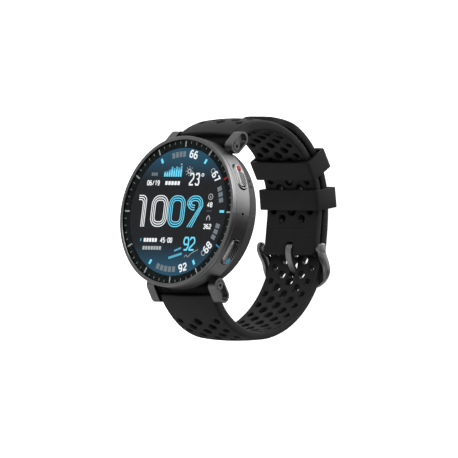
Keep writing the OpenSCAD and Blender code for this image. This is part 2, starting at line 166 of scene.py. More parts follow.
def lathe(profile, segments=180):
    """A bmesh turned about Z from (radius, height) points in mm, closed by ends on the axis."""
    bm = bmesh.new()
    angles = [2 * math.pi * k / segments for k in range(segments)]
    rings = []
    for r, z in profile:
        spots = [(r * math.cos(a) * MM, r * math.sin(a) * MM, z * MM) for a in angles]
        rings.append([bm.verts.new(spot) for spot in (spots if r > 0 else spots[:1])])
    for low, high in zip(rings, rings[1:]):
        for k in range(segments):
            n = (k + 1) % segments
            if len(low) == 1:
                bm.faces.new((low[0], high[n], high[k]))
            elif len(high) == 1:
                bm.faces.new((low[k], low[n], high[0]))
            else:
                bm.faces.new((low[k], low[n], high[n], high[k]))
    return bm


def merged(parts, name, sharp=40):
    """One object from several bmeshes."""
    whole = bmesh.new()
    for part in parts:
        mesh = bpy.data.meshes.new("part")
        part.to_mesh(mesh)
        part.free()
        whole.from_mesh(mesh)
        bpy.data.meshes.remove(mesh)
    return finish_mesh(whole, name, sharp)


def arc(cx, cy, r, start, end, steps):
    """Points on an arc, in degrees, with both ends."""
    return [(cx + r * math.cos(math.radians(start + (end - start) * k / steps)),
             cy + r * math.sin(math.radians(start + (end - start) * k / steps)))
            for k in range(steps + 1)]


def circle(cx, cy, r, steps=28):
    """Corner points of a circle."""
    return arc(cx, cy, r, 0, 360, steps)[:-1]


def rounded_rect(x0, y0, x1, y1, r, steps=6):
    """Corner points of a rectangle with round corners, anticlockwise."""
    return (arc(x1 - r, y1 - r, r, 0, 90, steps) + arc(x0 + r, y1 - r, r, 90, 180, steps)
            + arc(x0 + r, y0 + r, r, 180, 270, steps) + arc(x1 - r, y0 + r, r, 270, 360, steps))


def blend_value(x, x0, x1, y0, y1):
    """Smooth step from y0 at x0 to y1 at x1."""
    t = min(1, max(0, (x - x0) / (x1 - x0)))
    t = t * t * (3 - 2 * t)
    return y0 + (y1 - y0) * t


def from_loop(depth, up, across):
    """Row-frame millimetres of a point in the plane of the strap loop."""
    return (across, up, DIAL_Z - depth)


# ---------------------------------------------------------------- materials
LINE_STRETCH = 0.0006     # metres of noise per radian: the smaller, the longer a turned line
MIRROR_POWER = 6.0        # the higher, the later the glass starts to mirror towards a slant
GLOW_STARTS, GLOW_FULL = 8.0 * MM, 18.5 * MM


def principled(name, colour, rough, metal=0.0, **sockets):
    """A material with one Principled shader, which carries its plain values itself."""
    material = bpy.data.materials.new(name)
    material.use_nodes = True
    shader = material.node_tree.nodes["Principled BSDF"]
    shader.inputs["Base Color"].default_value = (*colour, 1)
    shader.inputs["Roughness"].default_value = rough
    shader.inputs["Metallic"].default_value = metal
    for key, value in sockets.items():
        shader.inputs[key.replace("_", " ")].default_value = value
    return material, material.node_tree, shader


def object_coords(tree):
    """Coordinates that move with the piece, in metres."""
    return tree.nodes.new("ShaderNodeTexCoord").outputs["Object"]


def calculate(tree, operation, *values):
    """Result of a Math node, whose values are numbers or outputs of other nodes."""
    node = tree.nodes.new("ShaderNodeMath")
    node.operation = operation
    for socket, value in zip(node.inputs, values):
        if isinstance(value, float):
            socket.default_value = value
        else:
            tree.links.new(value, socket)
    return node.outputs[0]


def noise(tree, vector, scale, detail=3.0, rough=0.55):
    """Noise from 0 to 1, with its scale per metre."""
    node = tree.nodes.new("ShaderNodeTexNoise")
    node.inputs["Scale"].default_value = scale
    node.inputs["Detail"].default_value = detail
    node.inputs["Roughness"].default_value = rough
    tree.links.new(vector, node.inputs["Vector"])
    return node.outputs["Fac"]


def ramp(tree, fac, low, high, start=0.0, end=1.0):
    """Colour ramp between two colours."""
    node = tree.nodes.new("ShaderNodeValToRGB")
    node.color_ramp.elements[0].position = start
    node.color_ramp.elements[1].position = end
    node.color_ramp.elements[0].color = (*low, 1)
    node.color_ramp.elements[1].color = (*high, 1)
    tree.links.new(fac, node.inputs["Fac"])
    return node.outputs["Color"]


def spread(tree, fac, low, high):
    """Maps 0..1 to low..high."""
    node = tree.nodes.new("ShaderNodeMapRange")
    node.inputs["To Min"].default_value = low
    node.inputs["To Max"].default_value = high
    tree.links.new(fac, node.inputs["Value"])
    return node.outputs["Result"]


def bump(tree, height, shader, distance, strength=1.0, normal=None):
    """Bumps a shader by a height from 0 to 1, over a distance in metres."""
    node = tree.nodes.new("ShaderNodeBump")
    node.inputs["Distance"].default_value = distance
    node.inputs["Strength"].default_value = strength
    tree.links.new(height, node.inputs["Height"])
    if normal is not None:
        tree.links.new(normal, node.inputs["Normal"])
    tree.links.new(node.outputs["Normal"], shader.inputs["Normal"])


def soft_edges(tree, radius):
    """Normals rounded over the edges of an exact CAD solid."""
    node = tree.nodes.new("ShaderNodeBevel")
    node.samples = 6
    node.inputs["Radius"].default_value = radius
    return node.outputs["Normal"]


def varied(tree, fac, colour, low, high):
    """The colour from its darker to its lighter shade, over the middle of a noise."""
    return ramp(tree, fac, [c * low for c in colour], [c * high for c in colour], 0.3, 0.7)


def grained(name, colour, rough, grain_scale, grain_depth, metal=0.0, edge=0.0, **sockets):
    """Plain surface with fine grain: colour and roughness vary a little, and the grain is bumped."""
    material, tree, shader = principled(name, colour, rough, metal, **sockets)
    vector = object_coords(tree)
    mottling = noise(tree, vector, grain_scale * 0.08, 2)
    grain = noise(tree, vector, grain_scale, 4)
    tree.links.new(varied(tree, mottling, colour, 0.88, 1.12), shader.inputs["Base Color"])
    tree.links.new(spread(tree, grain, rough * 0.85, rough * 1.15), shader.inputs["Roughness"])
    bump(tree, grain, shader, grain_depth, 1.0, soft_edges(tree, edge) if edge else None)
    return material


def turned(name, colour, rough, edge, line_scale):
    """Metal with fine lines that run round the Z axis, as left by a lathe or a brushing wheel."""
    material, tree, shader = principled(name, colour, rough, 1.0)
    coords = object_coords(tree)
    split = tree.nodes.new("ShaderNodeSeparateXYZ")
    tree.links.new(coords, split.inputs["Vector"])
    flat = tree.nodes.new("ShaderNodeCombineXYZ")
    tree.links.new(split.outputs["X"], flat.inputs["X"])
    tree.links.new(split.outputs["Y"], flat.inputs["Y"])
    radius = tree.nodes.new("ShaderNodeVectorMath")
    radius.operation = "LENGTH"
    tree.links.new(flat.outputs["Vector"], radius.inputs[0])
    angle = calculate(tree, "ARCTAN2", split.outputs["Y"], split.outputs["X"])
    stretched = tree.nodes.new("ShaderNodeCombineXYZ")
    tree.links.new(radius.outputs["Value"], stretched.inputs["X"])
    tree.links.new(split.outputs["Z"], stretched.inputs["Y"])
    tree.links.new(calculate(tree, "MULTIPLY", angle, LINE_STRETCH), stretched.inputs["Z"])
    lines = noise(tree, stretched.outputs["Vector"], line_scale, 3, 0.6)
    mottling = noise(tree, coords, 120, 2)
    tree.links.new(varied(tree, mottling, colour, 0.9, 1.1), shader.inputs["Base Color"])
    tree.links.new(spread(tree, lines, rough * 0.75, rough * 1.25), shader.inputs["Roughness"])
    bump(tree, lines, shader, 4e-6, 0.6, soft_edges(tree, edge))
    return material


def silicone(name, colour, gloss):
    """Matte dark silicone: fine moulded grain, faint mottling and a dusty sheen."""
    material, tree, shader = principled(name, colour, 0.55, Sheen_Weight=0.005,
                                        Sheen_Roughness=0.5, Specular_IOR_Level=gloss)
    vector = object_coords(tree)
    mottling = noise(tree, vector, 260, 3)
    grain = noise(tree, vector, 9000, 3)
    tree.links.new(varied(tree, mottling, colour, 0.85, 1.2), shader.inputs["Base Color"])
    tree.links.new(spread(tree, grain, 0.45, 0.62), shader.inputs["Roughness"])
    bump(tree, grain, shader, 6e-6, 0.7)
    return material


def glass_material():
    """Clear cover glass that shows the display and mirrors the room more at a slant."""
    material = bpy.data.materials.new("cover_glass_clear")
    material.use_nodes = True
    tree = material.node_tree
    tree.nodes.clear()
    output = tree.nodes.new("ShaderNodeOutputMaterial")
    mix = tree.nodes.new("ShaderNodeMixShader")
    clear = tree.nodes.new("ShaderNodeBsdfTransparent")
    mirror = tree.nodes.new("ShaderNodeBsdfGlossy")
    slant = tree.nodes.new("ShaderNodeLayerWeight")
    clear.inputs["Color"].default_value = (0.97, 0.98, 0.98, 1)
    mirror.inputs["Color"].default_value = (0.35, 0.35, 0.35, 1)
    smears = noise(tree, object_coords(tree), 90, 4)
    tree.links.new(spread(tree, smears, 0.1, 0.18), mirror.inputs["Roughness"])
    share = calculate(tree, "POWER", slant.outputs["Facing"], MIRROR_POWER)
    tree.links.new(share, mix.inputs["Fac"])
    tree.links.new(clear.outputs["BSDF"], mix.inputs[1])
    tree.links.new(mirror.outputs["BSDF"], mix.inputs[2])
    tree.links.new(mix.outputs["Shader"], output.inputs["Surface"])
    return material


def glowing(name, colour):
    """A lit part of the display: its colour shimmers slightly with the pixel grid."""
    material, tree, shader = principled(name, [c * 0.2 for c in colour], 0.4)
    grid = noise(tree, object_coords(tree), 12000, 1)
    tree.links.new(varied(tree, grid, colour, 0.92, 1.05), shader.inputs["Emission Color"])
    shader.inputs["Emission Strength"].default_value = 1.0
    return material


def display_ground():
    """Dark display with a blue glow that grows towards 12 and 6 o'clock."""
    material, tree, shader = principled("display_ground", (0.004, 0.004, 0.005), 0.4,
                                        Specular_IOR_Level=0.06)
    split = tree.nodes.new("ShaderNodeSeparateXYZ")
    tree.links.new(object_coords(tree), split.inputs["Vector"])
    glow = tree.nodes.new("ShaderNodeMapRange")
    glow.interpolation_type = "SMOOTHSTEP"
    glow.inputs["From Min"].default_value = GLOW_STARTS
    glow.inputs["From Max"].default_value = GLOW_FULL
    tree.links.new(calculate(tree, "ABSOLUTE", split.outputs["Y"]), glow.inputs["Value"])
    colours = ramp(tree, glow.outputs["Result"], (0.0125, 0.0125, 0.013), (0.018, 0.075, 0.125))
    tree.links.new(colours, shader.inputs["Emission Color"])
    shader.inputs["Emission Strength"].default_value = 1.0
    return material


STRAP = silicone("silicone", (0.0052, 0.0052, 0.0054), 0.13)
# Near-black copy of the silicone for the strap roots: painted shade of the deep gap between strap and case.
STRAP_ROOT_SHADE = silicone("silicone_root_painted_shade", (0.0014, 0.0014, 0.0015), 0.03)
CASE = turned("case_satin", (0.10, 0.10, 0.10), 0.34, edge=0.12 * MM, line_scale=7000)
BEZEL = turned("bezel_turned", (0.125, 0.125, 0.125), 0.33, edge=0.1 * MM, line_scale=5000)
LUG = grained("lug_satin", (0.1, 0.1, 0.1), 0.36, 5000, 3e-6, metal=1.0, edge=0.1 * MM)
BUTTON = grained("button_steel", (0.13, 0.13, 0.13), 0.26, 4000, 2e-6, metal=1.0)
BUCKLE = grained("buckle_satin", (0.165, 0.165, 0.165), 0.42, 4000, 3e-6, metal=1.0)
FINE_STEEL = grained("fine_steel", (0.6, 0.6, 0.61), 0.28, 3000, 2e-6, metal=1.0)
GLASS = glass_material()
DIAL_BLACK = grained("dial_black", (0.008, 0.0095, 0.0095), 0.7, 3000, 2e-7,
                     Specular_IOR_Level=0.03)
# Lighter copy of the button steel for the bevel strip: a painted highlight.
BEVEL_HIGHLIGHT = grained("bevel_painted_highlight", (0.42, 0.42, 0.42), 0.3, 4000, 1e-6, metal=1.0)
# Near-black for the strips on the buttons: painted shade of the groove cuts and of the end of the pocket.
GROOVE_SHADE = grained("groove_shadow", (0.002, 0.002, 0.002), 0.7, 4000, 1e-6,
                 Specular_IOR_Level=0.02)
RED_DOT = grained("red_dot", (0.26, 0.015, 0.022), 0.55, 3000, 1e-6, Specular_IOR_Level=0.1)
BLUE_DOT = grained("blue_dot", (0.03, 0.14, 0.21), 0.55, 3000, 1e-6, Specular_IOR_Level=0.1)
COVER = grained("cover_polymer", (0.016, 0.016, 0.0165), 0.6, 5000, 6e-6, edge=0.15 * MM,
                Specular_IOR_Level=0.2)
INNER = grained("inner_polymer", (0.09, 0.09, 0.1), 0.5, 3000, 4e-6)
SEAL = grained("seal_rubber", (0.02, 0.02, 0.02), 0.6, 3000, 4e-6)
BOARD = grained("board_mask", (0.01, 0.11, 0.05), 0.35, 1500, 2e-6)
CELL = grained("cell_foil", (0.12, 0.12, 0.14), 0.4, 800, 1e-5)
GOLD = grained("gold_plate", (0.85, 0.62, 0.28), 0.25, 3000, 2e-6, metal=1.0)
SMOKED = grained("smoked_window", (0.01, 0.01, 0.012), 0.12, 900, 5e-7)
LENS = grained("led_lens", (0.8, 0.82, 0.75), 0.3, 2000, 1e-6)
WHITE_LIT = glowing("lit_white", (0.78, 0.80, 0.82))
GREY_LIT = glowing("lit_grey", (0.12, 0.15, 0.17))
SOFT_LIT = glowing("lit_soft", (0.36, 0.37, 0.38))
BLUE_LIT = glowing("lit_blue", (0.06, 0.34, 0.50))
CYAN_LIT = glowing("lit_cyan", (0.12, 0.62, 0.85))
TICK_PAINT = grained("tick_paint", (0.30, 0.31, 0.31), 0.5, 3000, 1e-6)
MINUTE_PAINT = grained("minute_paint", (0.17, 0.19, 0.19), 0.5, 3000, 1e-6)
RED_PAINT = grained("red_paint", (0.40, 0.012, 0.015), 0.5, 3000, 1e-6,
                    Specular_IOR_Level=0.15)
BLUE_PAINT = grained("blue_paint", (0.03, 0.22, 0.38), 0.5, 3000, 1e-6,
                     Specular_IOR_Level=0.15)

CAD_MATERIALS = (
    (BEZEL, "bezel_ring"), (CASE, "mid_case"), (LUG, "lug_bushings"), (BUCKLE, "buckle_bar"),
    (DIAL_BLACK, "dial_ring"), (display_ground(), "display_panel"), (COVER, "back_cover"),
    (SEAL, "display_gasket", "button_seals", "back_gasket"), (CELL, "battery"),
    (GOLD, "button_switches", "charging_contacts", "motor_rotor"),
    (INNER, "antenna_ring", "chassis"), (BOARD, "main_board", "sensor_board"),
    (SMOKED, "sensor_photodiodes", "sensor_window"), (LENS, "sensor_leds"),
    (FINE_STEEL, "microphone", "shield_cans", "motor_can", "pressure_sensor", "case_screws",
     "upper_spring_bar", "lower_spring_bar", "upper_quick_release", "lower_quick_release",
     "upper_button_clip", "lower_button_clip"),
)


def paint(obj, material):
    """Gives a piece its one material."""
    obj.data.materials.clear()
    obj.data.materials.append(material)
    return obj


def paint_nodes():
    """Gives the CAD pieces that are not replaced their materials."""
    for material, *names in CAD_MATERIALS:
        for slot in [slot for name in names for slot in NODES[name].material_slots]:
            slot.material = material


def hand_over(obj, body, slot_name, *nodes):
    """Puts a finished piece on its body and hides the CAD nodes it stands for; the slot name is not used."""
    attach(obj, body)
    if nodes:
        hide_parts(*nodes)
    return obj


# ---------------------------------------------------------------- straps
STRAP_EDGE, KEEPER_EDGE = 0.42, 0.24      # rounding of edges and hole rims
BAND_STEP, ACROSS_STEP = 1.1, 1.6         # size of the faces along and across a band
MIDDLE_HOLE_R, PAIR_HOLE_R, SMALL_HOLE_R = 1.3, 1.25, 0.95
PAIR_HOLE_X, SMALL_HOLE_X = 3.95, 7.4
TONGUE_SLOT, TONGUE_SLOT_HALF = (57.9, 63.4), 1.35
NOTCH_HALF, NOTCH_DEEP, NOTCH_R = 1.3, 3.9, 0.6
CREASE_HALF, CREASE_DEEP, CREASE_X = 0.35, 0.16, 9.3
ROOT_INNER, ROOT_OUTER = 0.9, 1.25        # from the middle line of the strap to the root's faces
ROOT_OVERLAP = 0.9                        # how far the root reaches into the band
LEVER_GAP = (-9.2, -5.6)


def left(heading):
    """Unit vector to the left of a heading."""
    return Vector((-math.sin(math.radians(heading)), math.cos(math.radians(heading))))


def ahead(heading):
    """Unit vector along a heading."""
    return Vector((math.cos(math.radians(heading)), math.sin(math.radians(heading))))


def stretch_length(radius, size):
    """Length of one stretch of a route."""
    return size if radius == 0 else radius * math.radians(size)


def route_length(route):
    """Length of a whole route."""
    return sum(stretch_length(*stretch) for stretch in route)


def on_route(start, heading, route, s):
    """Point and heading at a distance along a route, which carries on at both ends."""
    point = Vector(start)
    for index, (radius, size) in enumerate(route):
        length = stretch_length(radius, size)
        if s <= length or index == len(route) - 1:
            if radius == 0 or s < 0:
                return point + ahead(heading) * s, heading
            turn = math.degrees(s / radius)
            return point + radius * (left(heading) - left(heading + turn)), heading + turn
        if radius == 0:
            point += ahead(heading) * length
        else:
            point += radius * (left(heading) - left(heading + size))
            heading += size
        s -= length


def on_long(s):
    """Point and heading of the long strap at a distance from its lug end."""
    return on_route(LONG_START, LONG_HEADING, LONG_ROUTE, s)


def on_short(s):
    """Point and heading of the short strap at a distance from its lug end."""
    return on_route(SHORT_START, SHORT_HEADING, SHORT_ROUTE, route_length(SHORT_ROUTE) - s)


def strap_outline(length, tail_r, notched=False):
    """Outline of a strap laid flat, from its lug end at 0, in (distance, across).

    A notch at the far end leaves room for the tongue on its bar."""
    corner = 0.7
    side = arc(corner, ROOT_HALF - corner, corner, 180, 90, 4)
    side += [(s, blend_value(s, 0, NARROWING_L, ROOT_HALF, STRAP_HALF))
             for s in range(1, int(length - tail_r))]
    side += arc(length - tail_r, STRAP_HALF - tail_r, tail_r, 90, 0, 5 if notched else 14)
    if notched:
        side += [(length, NOTCH_HALF)]
        side += arc(length - NOTCH_DEEP + NOTCH_R, NOTCH_HALF - NOTCH_R, NOTCH_R, 90, 180, 3)
    return side + [(s, -x) for s, x in reversed(side)]


def perforations(first_single, first_pair, pitch, last, slot=(0, 0)):
    """Holes of a strap laid flat: rows of one large and two small holes between rows of two.

    No middle hole is made where the slot is."""
    holes = []
    s = first_single
    while s < last:
        if not slot[0] < s < slot[1]:
            holes.append(circle(s, 0, MIDDLE_HOLE_R))
        holes += [circle(s, side * SMALL_HOLE_X, SMALL_HOLE_R, 22) for side in (-1, 1)]
        s += pitch
    s = first_pair
    while s < last:
        holes += [circle(s, side * PAIR_HOLE_X, PAIR_HOLE_R) for side in (-1, 1)]
        s += pitch
    return holes


def strap_band(outlines, length, on_strap, thin, crown, crease=None):
    """A perforated band laid flat, then bent along its route.

    It thins from its lug and its outer side is crowned by (from, to, height before, height
    after). A crease is a shallow groove across the side at the wrist."""
    flat = plate(outlines, FLAT_T, STRAP_EDGE)
    cuts = [k * BAND_STEP for k in range(1, int(length / BAND_STEP))]
    if crease:
        cuts += [crease - CREASE_HALF, crease, crease + CREASE_HALF]
    slice_mesh(flat, 0, cuts)
    slice_mesh(flat, 1, [k * ACROSS_STEP for k in range(-6, 7)])

    def place(s, x, n):
        point, heading = on_strap(s)
        share = n / FLAT_T + 0.5
        thick = blend_value(s, 0, THINNING_L, ROOT_T, thin)
        rise = blend_value(s, *crown) * (1 - (x / (STRAP_HALF + 0.8)) ** 2)
        off = -thick / 2 + share * (thick + rise)
        if crease and share < 0.5 and abs(s - crease) < 0.05 and abs(x) < CREASE_X:
            off += CREASE_DEEP
        spot = point - left(heading) * off
        return from_loop(spot.x, spot.y, x)

    return remap(flat, place)


def strap_root(start, heading, side):
    """The end of a strap round its spring bar, with the gap for the quick-release lever."""
    pin = Vector((PIN_AT[0], side * PIN_AT[1]))
    turn = -side
    inward, onward = left(heading), ahead(heading) * turn
    reach = Vector(start) + onward * ROOT_OVERLAP
    face = math.degrees(math.atan2(inward.y, inward.x))
    inner_end, outer_end = reach - inward * ROOT_INNER, reach + inward * ROOT_OUTER
    whole = [tuple(inner_end), tuple(outer_end)]
    whole += arc(*pin, BARREL_R, face, face + turn * 180, 16)
    bridge = [tuple(inner_end), tuple(reach - inward * 0.1),
              tuple(pin - inward * 0.9 + onward * 1.5)]
    bridge += arc(*pin, BARREL_R, face + turn * 127.5, face + turn * 180, 5)
    bore = circle(*pin, PIN_BORE_R, 24)

    def slab(outlines, x0, x1, edge):
        flat = plate(outlines, x1 - x0, edge, 1)
        return remap(flat, lambda d, u, w: from_loop(d, u, w + (x0 + x1) / 2))

    return [slab([whole, bore], -ROOT_HALF, LEVER_GAP[0], 0.12),
            slab([whole, bore], LEVER_GAP[1], ROOT_HALF, 0.12),
            slab([bridge], *LEVER_GAP, 0.1)]


def hand_over_strap(name, band, root):
    """The perforated band stands for the CAD strap, and its root is a piece of its own, in darker silicone that
    is painted shade of the gap under the case.
    """
    hand_over(paint(merged([band], name + "_band", sharp=35), STRAP),
              "root", "strap_silicone", name)
    hand_over(paint(merged(root, name + "_root", sharp=35), STRAP_ROOT_SHADE),
              "root", "strap_silicone")


def add_long_strap():
    """Strap of the 6 o'clock side, with the slot that the tongue goes through."""
    length = route_length(LONG_ROUTE)
    holes = perforations(9.3, 11.7, 4.72, length - 6, TONGUE_SLOT)
    holes.append(rounded_rect(TONGUE_SLOT[0], -TONGUE_SLOT_HALF, TONGUE_SLOT[1],
                              TONGUE_SLOT_HALF, 1.3))
    band = strap_band([strap_outline(length, 7.5)] + holes, length, on_long, LONG_T,
                      (18, 40, 0.75, 0.2))
    hand_over_strap("long_strap", band, strap_root(LONG_START, LONG_HEADING, -1))


def add_short_strap():
    """Strap of the 12 o'clock side, which carries the buckle."""
    length = route_length(SHORT_ROUTE)
    holes = perforations(length - 61.4, length - 59.0, 4.8, length - 10.5)
    band = strap_band([strap_outline(length, 1.2, notched=True)] + holes, length, on_short,
                      SHORT_T, (14, 34, 0.75, 0.12), crease=length - 8.0)
    hand_over_strap("short_strap", band, strap_root(*on_short(0), 1))


def keeper_outline(grow, inner_r, outer_r):
    """Rectangle round both straps, with its own corner radius on the wrist side."""
    low_x, high_x = KEEPER_IN - grow, KEEPER_OUT + grow
    half = KEEPER_HALF + grow
    return (arc(high_x - outer_r, half - outer_r, outer_r, 0, 90, 8)
            + arc(low_x + inner_r, half - inner_r, inner_r, 90, 180, 6)
            + arc(low_x + inner_r, inner_r - half, inner_r, 180, 270, 6)
            + arc(high_x - outer_r, outer_r - half, outer_r, 270, 360, 8))


def add_keeper(name, angle):
    """A loop round both straps, at an angle about the hub of the straps' arc."""
    ring = plate([keeper_outline(KEEPER_WALL, 0.7, 1.5), keeper_outline(0, 0.35, 0.7)],
                 KEEPER_L, KEEPER_EDGE)
    slice_mesh(ring, 1, [k * 2.0 for k in range(-5, 6)])

    def place(radial, across, along):
        spot = Vector(KEEPER_HUB) + ahead(angle) * radial + left(angle) * along
        return from_loop(spot.x, spot.y, across)

    loop = finish_mesh(remap(ring, place), name + "_loop", sharp=35)
    hand_over(paint(loop, STRAP), name, "strap_silicone", name)


# ---------------------------------------------------------------- buckle
FRAME_PATH = [(52.3, -0.75), (52.4, -1.8), (52.65, -2.9), (53.3, -4.1), (54.2, -5.2),
              (55.0, -6.3), (55.7, -7.6), (56.15, -9.0), (56.38, -10.5), (56.4, -12.2),
              (56.4, -13.95)]
FRAME_THICKNESS = [(0, 0.9), (0.7, 1.5), (2.0, 1.75), (3.4, 1.5), (5.0, 1.3), (6.5, 1.25)]
FRAME_CORNER_R, FRAME_EDGE = 6.5, 0.3
WEB_IN, WEB_CORNER_R = 10.4, 5.2
WEB_START, WEB_FULL = 2.6, 4.6            # distances along the path where the web grows
ARM_DEEPER = 2.3                          # how much thicker the arms are towards the wrist
EYE_R, EYE_FROM, EYE_TO = 1.05, ARM_IN - 1.1, ARM_IN + 0.3
RIVET_R, RIVET_FROM, RIVET_TO = 0.95, ARM_IN + ARM_T - 0.3, ARM_IN + ARM_T + 0.08
TONGUE_PATH = [(51.15, -3.3), (51.4, -4.5), (52.0, -5.9), (52.95, -7.3), (54.15, -8.7),
               (55.55, -10.2), (56.75, -11.6), (57.45, -12.7), (57.58, -14.3)]
TONGUE_EDGE, TONGUE_TIP_R, TONGUE_PLAY = 0.22, 0.6, 0.07


def path_reader(points, step=0.2):
    """Smooth open path through points: its length, and its point and direction at a distance."""
    first = Vector(points[0]) * 2 - Vector(points[1])
    last = Vector(points[-1]) * 2 - Vector(points[-2])
    knots = [first] + [Vector(p) for p in points] + [last]
    dense = []
    for p0, p1, p2, p3 in zip(knots, knots[1:], knots[2:], knots[3:]):
        count = max(2, int((p2 - p1).length / step))
        for k in range(count):
            t = k / count
            dense.append(0.5 * ((2 * p1) + (p2 - p0) * t + (2 * p0 - 5 * p1 + 4 * p2 - p3) * t * t
                                + (3 * p1 - p0 - 3 * p2 + p3) * t ** 3))
    dense.append(Vector(points[-1]))
    marks = [0.0]
    for a, b in zip(dense, dense[1:]):
        marks.append(marks[-1] + (b - a).length)

    def read(s):
        s = min(max(s, 0.0), marks[-1])
        index = max(k for k in range(len(marks) - 1) if marks[k] <= s)
        a, b = dense[index], dense[index + 1]
        share = (s - marks[index]) / (marks[index + 1] - marks[index])
        here, onward = max(0, index - 1), min(len(dense) - 1, index + 2)
        return a.lerp(b, share), (dense[onward] - dense[here]).normalized()

    return marks[-1], read


def steps_between(table, s):
    """Value at s in a table of (place, value) with straight stretches between."""
    for (a, low), (b, high) in zip(table, table[1:]):
        if s <= b:
            return low + (high - low) * max(0, s - a) / (b - a)
    return table[-1][1]


def bent_strip(outline, path, thickness, edge, arm_from=None):
    """A strip drawn flat as (distance, across), bent along a path in the plane of the loop.

    Further than arm_from from the middle it is thicker towards the wrist."""
    length, read = path
    strip = plate([outline], FLAT_T, edge, 4)
    slice_mesh(strip, 0, [k * 0.4 for k in range(1, int(length / 0.4) + 1)])
    if arm_from:
        slice_mesh(strip, 1, [side * arm_from + step for side in (-1, 1) for step in (-0.1, 0.1)])

    def place(s, across, n):
        point, along = read(s)
        normal = Vector((-along.y, along.x))
        if arm_from and n < 0 and abs(across) > arm_from:
            n *= ARM_DEEPER
        spot = point + normal * n * steps_between(thickness, s) / FLAT_T
        return from_loop(spot.x, spot.y, across)

    return remap(strip, place)


def bar_piece(radius, start, end, edge, *holes):
    """Round piece on the buckle bar, between two distances across the loop."""
    outlines = [circle(*BAR_AT, radius, 32)] + [circle(*BAR_AT, hole, 24) for hole in holes]
    piece = plate(outlines, abs(end - start), edge)
    return remap(piece, lambda d, u, w: from_loop(d, u, w + (start + end) / 2))


def frame_outline(length):
    """U-shaped outline of the buckle frame, drawn flat as (distance from the bar end, across)."""
    half, end_r, foot_r = ARM_IN + ARM_T, 0.6, 0.5
    outer = arc(end_r, half - end_r, end_r, 180, 90, 4)
    outer += arc(length - FRAME_CORNER_R, half - FRAME_CORNER_R, FRAME_CORNER_R, 90, 0, 14)
    inner = arc(length - ARM_T - WEB_CORNER_R, WEB_IN - WEB_CORNER_R, WEB_CORNER_R, 0, 90, 8)
    inner += [(WEB_FULL, WEB_IN), (WEB_START, ARM_IN)]
    inner += arc(foot_r, ARM_IN + foot_r, foot_r, 270, 180, 4)
    return (outer + [(s, -x) for s, x in reversed(outer)]
            + [(s, -x) for s, x in reversed(inner)] + inner)


def add_buckle_frame():
    """Frame with an eye round each end of the bar and the rivet head outside it."""
    path = path_reader(FRAME_PATH)
    parts = [bent_strip(frame_outline(path[0]), path, FRAME_THICKNESS, FRAME_EDGE,
                        ARM_IN - 0.15)]
    for side in (-1, 1):
        parts.append(bar_piece(EYE_R, side * EYE_FROM, side * EYE_TO, 0.12, BAR_R + 0.05))
        parts.append(bar_piece(RIVET_R, side * RIVET_FROM, side * RIVET_TO, 0.14))
    hand_over(paint(merged(parts, "buckle_frame_smooth"), BUCKLE), "buckle_frame",
              "buckle_metal", "buckle_frame")


def add_buckle_tongue():
    """Tongue wrapped round the bar and laid over the crossbar."""
    wrap_r = BAR_R + TONGUE_PLAY + TONGUE_T / 2
    path = path_reader(arc(*BAR_AT, wrap_r, -60, 180, 10) + TONGUE_PATH)
    half, end, tip_r = TONGUE_W / 2, path[0], TONGUE_TIP_R
    outline = (arc(end - tip_r, half - tip_r, tip_r, 90, 0, 5)
               + arc(end - tip_r, tip_r - half, tip_r, 0, -90, 5) + [(0, -half), (0, half)])
    tongue = bent_strip(outline, path, [(0, TONGUE_T)], TONGUE_EDGE)
    hand_over(paint(finish_mesh(tongue, "tongue_smooth"), BUCKLE), "buckle_tongue",
              "buckle_metal", "buckle_tongue")


# ---------------------------------------------------------------- buttons
BUTTON_ANGLE = 30                         # from 3 o'clock
BUTTON_FACE_R, BUTTON_BACK_R = CASE_R + 0.35, 22.2
CAP_HALF_L, CAP_HALF_H, CAP_EDGE = 4.3, 2.08, 0.14
CREASE_UP, BEVEL_SLOPE = 0.95, 0.35       # the face falls back above the crease
STEM_R, STEM_L, STEM_MIDDLE = 0.9, 3.2, 20.5
GROOVE_COUNT, GROOVE_PITCH, GROOVE_HALF, GROOVE_SLANT = 7, 0.75, 0.2, 0.7
GROOVE_FIRST, GROOVE_LOW, GROOVE_HIGH = 1.8, -1.7, 0.55
GROOVE_T, BEVEL_T, DOT_T = 0.12, 0.16, 0.3


def button_place(sign):
    """Placement of a flat piece on a button: (round the case, up, distance from the axis)."""
    def place(along, up, out):
        a = math.radians(sign * BUTTON_ANGLE) + along / BUTTON_FACE_R
        return (out * math.cos(a), out * math.sin(a), BUTTON_Z + up)
    return place


def bevel_drop(up):
    """How far the face of the cap falls back at a height."""
    return max(0, up - CREASE_UP) * BEVEL_SLOPE


def button_cap(sign):
    """Cap that follows the case wall, with its stem."""
    place, depth = button_place(sign), BUTTON_FACE_R - BUTTON_BACK_R
    flat = plate([rounded_rect(-CAP_HALF_L, -CAP_HALF_H, CAP_HALF_L, CAP_HALF_H,
                               CAP_HALF_H - 0.02, 12)], depth, CAP_EDGE)
    slice_mesh(flat, 0, [k * 0.4 for k in range(-11, 12)])
    slice_mesh(flat, 1, (CREASE_UP - 0.06, CREASE_UP + 0.06))
    cap = remap(flat, lambda along, up, n: place(
        along, up, BUTTON_BACK_R + (n / depth + 0.5) * (depth - bevel_drop(up))))
    stem = bmesh.new()
    bmesh.ops.create_cone(stem, cap_ends=True, segments=32, radius1=STEM_R * MM,
                          radius2=STEM_R * MM, depth=STEM_L * MM)
    turn = (Matrix.Rotation(math.radians(sign * BUTTON_ANGLE), 4, "Z")
            @ Matrix.Translation((STEM_MIDDLE * MM, 0, BUTTON_Z * MM))
            @ Matrix.Rotation(math.pi / 2, 4, "Y"))
    bmesh.ops.transform(stem, matrix=turn, verts=stem.verts)
    return [cap, stem]


